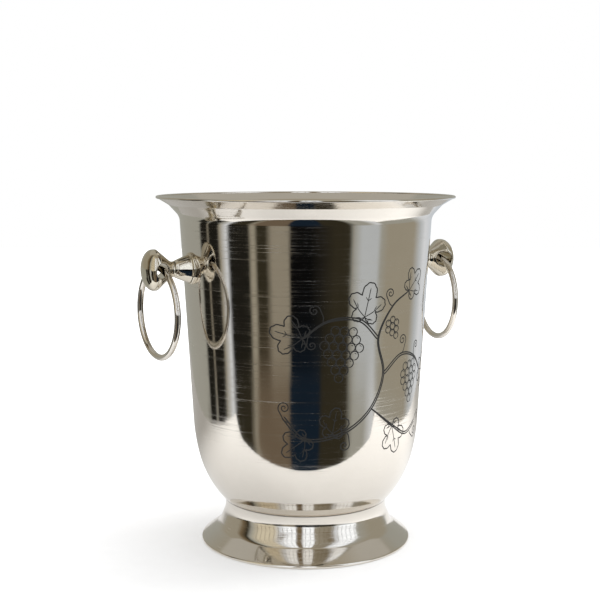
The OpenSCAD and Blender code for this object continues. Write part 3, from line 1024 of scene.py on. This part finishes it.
def line_mesh(flat, width):
    """One closed line with a flat diamond section: its crest stands LINE_RISE above the face, its keel
    LINE_DEPTH below, and its width narrows to LINE_END of itself at both ends."""
    length = np.concatenate([[0], np.cumsum(np.linalg.norm(np.diff(flat, axis=0), axis=1))])
    count = max(5, int(length[-1] / LINE_STEP) + 1)
    along = np.linspace(0, length[-1], count)
    flat = np.stack([np.interp(along, length, flat[:, k]) for k in (0, 1)], -1)
    aside = beside(flat)
    end = np.minimum(along, length[-1] - along) / LINE_TAPER
    half = width / 2 * (LINE_END + (1 - LINE_END) * np.minimum(end, 1))[:, None]
    rail = np.stack([
        on_the_wall(flat + half * aside, 0.0),
        on_the_wall(flat, LINE_RISE),
        on_the_wall(flat - half * aside, 0.0),
        on_the_wall(flat, -LINE_DEPTH),
    ], 1)
    faces = grid_faces(count, 4, False)
    last = 4 * (count - 1)
    return rail.reshape(-1, 3), faces + [[3, 2, 1, 0], [last, last + 1, last + 2, last + 3]]


def make_engraving():
    """A plain grape vine in dark lines on the front of the bowl."""
    points, faces, first = [], [], 0
    for line, weight in vine_lines():
        flat = line * MM + [0, ENGRAVING_MIDDLE]
        line_points, line_faces = line_mesh(flat, weight * LINE_WIDTH)
        points.append(line_points)
        faces += [[corner + first for corner in face] for face in line_faces]
        first += len(line_points)
    vine = make_piece("engraved_vine", np.vstack(points), faces, engraving_black, LINES_SMOOTH_BELOW)
    settle(vine, "bucket", "spun_silver")


make_bowl()
make_foot()
make_engraving()
make_rim_wire()
make_posts()
make_ring("left_ring", LEFT_RING_TURN)
make_ring("right_ring", -RIGHT_RING_TURN)

# The fasteners and hidden pieces keep their own shape and take a finish
FINISHES = (
    (plain_steel, ("foot_wire", "left_screw", "right_screw", "left_washer", "right_washer")),
    (soft_solder, ("foot_solder",)),
    # The seals' black is partly a painted reflection of the flange's dark edge
    (black_rubber_and_painted_reflection, ("left_seal", "right_seal")),
)
for finish, node_names in FINISHES:
    for node_name in node_names:
        node_mesh = frame["nodes"][node_name].data
        node_mesh.materials.clear()
        node_mesh.materials.append(finish)


# ---- stage (metres, degrees, millimetres for the lens)
CAMERA_TURN = 27.0
CAMERA_FAR = 0.890
CAMERA_HEIGHT = 0.2898
CAMERA_PITCH = -6.76
CAMERA_SWING = 0.27
LENS = 70.5
SENSOR = 36.0
PAPER_FRONT = 0.172
PAPER_HALF = 0.39
PAPER_BACK = 3.0
FLOOR_HALF = 4.0


def facing(points):
    """Turns points given with -Y towards the camera into the frame's own directions."""
    a = math.radians(-CAMERA_TURN)
    turn = np.array([[math.cos(a), math.sin(a), 0], [-math.sin(a), math.cos(a), 0], [0, 0, 1]])
    return np.asarray(points, float) @ turn


def make_floor(name, x_low, x_high, y_low, y_high, in_reflections):
    """A flat pale sheet on the floor's level, with or without a reflection of its own."""
    corners = facing([[x_low, y_low, 0], [x_high, y_low, 0], [x_high, y_high, 0], [x_low, y_high, 0]])
    mesh = bpy.data.meshes.new(name)
    mesh.from_pydata(corners.tolist(), [], [(0, 1, 2, 3)])
    mesh.materials.append(paper_white)
    floor = add_object(name, mesh)
    floor.visible_glossy = in_reflections


make_floor("paper", -PAPER_HALF, PAPER_HALF, -PAPER_FRONT, PAPER_BACK, True)
make_floor("floor_front", -FLOOR_HALF, FLOOR_HALF, -FLOOR_HALF, -PAPER_FRONT, False)
make_floor("floor_left", -FLOOR_HALF, -PAPER_HALF, -PAPER_FRONT, PAPER_BACK, False)
make_floor("floor_right", PAPER_HALF, FLOOR_HALF, -PAPER_FRONT, PAPER_BACK, False)

BLACK = (0.004, 0.004, 0.004)
DARK = (0.015, 0.014, 0.011)
GREY = (0.40, 0.40, 0.36)
TAN = (0.32, 0.29, 0.23)
OLIVE = (0.035, 0.030, 0.018)
BLUISH = (0.56, 0.60, 0.64)
BEIGE = (0.38, 0.35, 0.28)
PALE = (0.80, 0.84, 0.90)
NAVY = (0.009, 0.018, 0.032)
BROWN = (0.17, 0.13, 0.09)
WINDOW = (1.36, 1.44, 1.56)
WARM = (0.80, 0.73, 0.57)
WOOD = (0.20, 0.15, 0.09)

# What stands round the bucket at wall height, by angle from the camera: (degrees, colour)
ROOM = [
    (-180, GREY), (-112, GREY), (-109, DARK), (-101, DARK), (-99, TAN), (-97, DARK), (-86, DARK),
    (-83, BEIGE), (-76, PALE), (-72, DARK), (-53, DARK), (-50, BEIGE), (-47, BEIGE), (-44, OLIVE),
    (-36, OLIVE), (-30, TAN), (-15, TAN), (-13, BLACK), (4, BLACK), (14, DARK), (27, OLIVE),
    (40, OLIVE), (44, GREY), (52, BLUISH), (68, BLUISH), (72, GREY), (80, BEIGE), (116, BEIGE),
    (128, BLUISH), (140, PALE), (172, BLUISH),
]
# The same lower down, where the light is poorer
LOWER_ROOM = [
    (-180, GREY), (-118, GREY), (-114, DARK), (-103, DARK), (-100, GREY), (-97, DARK), (-88, DARK),
    (-83, GREY), (-76, PALE), (-71, OLIVE), (-56, OLIVE), (-50, TAN), (-46, BROWN), (-36, BROWN),
    (-17, BROWN), (-14, NAVY), (13, NAVY), (16, OLIVE), (40, OLIVE), (48, GREY), (60, GREY),
    (70, PALE), (76, GREY), (100, GREY), (118, GREY), (138, PALE), (170, PALE),
]
# Above eye level: windows with warm walls between them
WINDOWS = [
    (-180, GREY), (-150, GREY), (-130, BEIGE), (-104, BEIGE), (-96, WOOD), (-86, OLIVE), (-80, GREY),
    (-66, WARM), (-45, WARM), (-36, PALE), (-26, WINDOW), (-14, WINDOW), (-11, WOOD), (-5, WOOD),
    (-2, WINDOW), (11, WINDOW), (14, BEIGE), (36, TAN), (42, PALE), (50, WINDOW), (72, WINDOW),
    (76, GREY), (98, BEIGE), (126, BEIGE), (140, GREY),
]

# Where the parts of the room meet, as shares of a direction's unit length: its upward part, and for BEHIND
# its part away from the camera
LOWER_EDGE = (-0.33, -0.24)
EYE_LEVEL = (-0.06, 0.0)
CEILING_EDGE = (0.88, 0.94)
CEILING_DROP = 0.32
CEILING_FRONT = (0.40, 0.36, 0.28)
CEILING_BACK = (0.50, 0.48, 0.43)
BEHIND = (-0.05, 0.25)
LIT_WHITE = (0.95, 0.95, 0.95)

# Glazing bars: how many over a full turn or a unit of height, and the share of the pane that a bar covers
UPRIGHT_BARS = (56.0, 0.13)
LEVEL_BARS = (7.0, 0.10)
BARS_ABOVE = 0.05
BARS_MIDDLE = 0.5
BARS_HALF = 0.21
BAR_STRENGTH = 0.8


def angle_ramp(tree, factor, stops):
    """A colour ramp over the full turn round the bucket, from -180 degrees at 0 to 180 degrees at 1."""
    node = tree.nodes.new("ShaderNodeValToRGB")
    ramp = node.color_ramp
    ramp.elements.remove(ramp.elements[1])
    ramp.elements[0].color = (*stops[0][1], 1)
    for degrees, colour in stops[1:]:
        ramp.elements.new(degrees / 360 + 0.5).color = (*colour, 1)
    tree.links.new(factor, node.inputs["Fac"])
    return node.outputs["Color"]


def window_bars(tree, turn, up):
    """Thin upright and level glazing bars above eye level: 1 on a bar, 0 on the glass."""
    bars = []
    for value, (count, width) in ((turn, UPRIGHT_BARS), (up, LEVEL_BARS)):
        share = math_node(tree, "FRACT", product(tree, value, count))
        bars.append(math_node(tree, "LESS_THAN", share, width))
    above = math_node(tree, "GREATER_THAN", up, BARS_ABOVE)
    in_front = math_node(tree, "COMPARE", turn, BARS_MIDDLE, BARS_HALF)
    either = product(tree, math_node(tree, "MAXIMUM", *bars), in_front)
    return product(tree, product(tree, either, above), BAR_STRENGTH)


def room_colour(tree):
    """What stands round the bucket in a direction: wall bands low and high, windows above and a ceiling."""
    turn = tree.nodes.new("ShaderNodeMapping")
    turn.inputs["Rotation"].default_value = (0, 0, math.radians(CAMERA_TURN))
    tree.links.new(tree.nodes.new("ShaderNodeTexCoord").outputs["Generated"], turn.inputs["Vector"])
    across, away, up = split_axes(tree, turn.outputs["Vector"])
    angle = math_node(tree, "ARCTAN2", across, product(tree, away, -1.0))
    factor = math_node(tree, "MULTIPLY_ADD", angle, 1 / (2 * math.pi), 0.5)
    lower, room, windows = [angle_ramp(tree, factor, stops) for stops in (LOWER_ROOM, ROOM, WINDOWS)]
    colour = mix_colours(tree, between(tree, up, *LOWER_EDGE), lower, room)
    colour = mix_colours(tree, between(tree, up, *EYE_LEVEL), colour, windows)
    colour = mix_colours(tree, window_bars(tree, factor, up), colour, WOOD)
    behind = between(tree, away, *BEHIND)
    ceiling = mix_colours(tree, behind, CEILING_FRONT, CEILING_BACK)
    height = math_node(tree, "MULTIPLY_ADD", behind, CEILING_DROP, up)
    return mix_colours(tree, between(tree, height, *CEILING_EDGE), colour, ceiling)


def make_world():
    """Plain white for the camera and the floor, and a studio room for what the metal mirrors."""
    world = bpy.data.worlds.new("studio")
    bpy.context.scene.world = world
    world.use_nodes = True
    tree = world.node_tree
    tree.nodes.clear()
    light = tree.nodes.new("ShaderNodeLightPath")
    colour = mix_colours(tree, light.outputs["Is Diffuse Ray"], room_colour(tree), LIT_WHITE)
    colour = mix_colours(tree, light.outputs["Is Camera Ray"], colour, PURE_WHITE)
    background = set_inputs(tree, tree.nodes.new("ShaderNodeBackground"), Color=colour)
    set_inputs(tree, tree.nodes.new("ShaderNodeOutputWorld"), Surface=background.outputs[0])


# Name, place with -Y towards the camera, edge in metres and power in watts
SOFTBOXES = (
    ("top_softbox", [0.1, 0.1, 1.5], 1.0, 9.0),
    ("right_softbox", [1.1, 0.5, 0.9], 0.7, 6.0),
)


def aim(thing, place, ahead):
    """Puts a lamp or a camera in its place and turns its view along a direction."""
    thing.location = place
    thing.rotation_mode = "QUATERNION"
    thing.rotation_quaternion = Vector(ahead).to_track_quat("-Z", "Y")


def make_softbox(name, place, size, power):
    """A square area light that looks at the bucket's middle."""
    data = bpy.data.lights.new(name, "AREA")
    data.size, data.energy = size, power
    lamp = add_object(name, data)
    aim(lamp, facing(place), np.array([0, 0, TOP / 2]) - facing(place))
    lamp.visible_camera = False
    lamp.visible_glossy = False


def make_camera():
    """The camera stands in front, a little to one side of the ornament, and looks slightly down."""
    data = bpy.data.cameras.new("camera")
    data.lens, data.sensor_width = LENS, SENSOR
    camera = add_object("camera", data)
    pitch, swing = math.radians(CAMERA_PITCH), math.radians(CAMERA_SWING)
    ahead = [-math.sin(swing) * math.cos(pitch), math.cos(swing) * math.cos(pitch), math.sin(pitch)]
    aim(camera, facing([0, -CAMERA_FAR, CAMERA_HEIGHT]), facing(ahead))
    bpy.context.scene.camera = camera


make_world()
for softbox in SOFTBOXES:
    make_softbox(*softbox)
make_camera()
bpy.context.scene.view_settings.view_transform = "Standard"
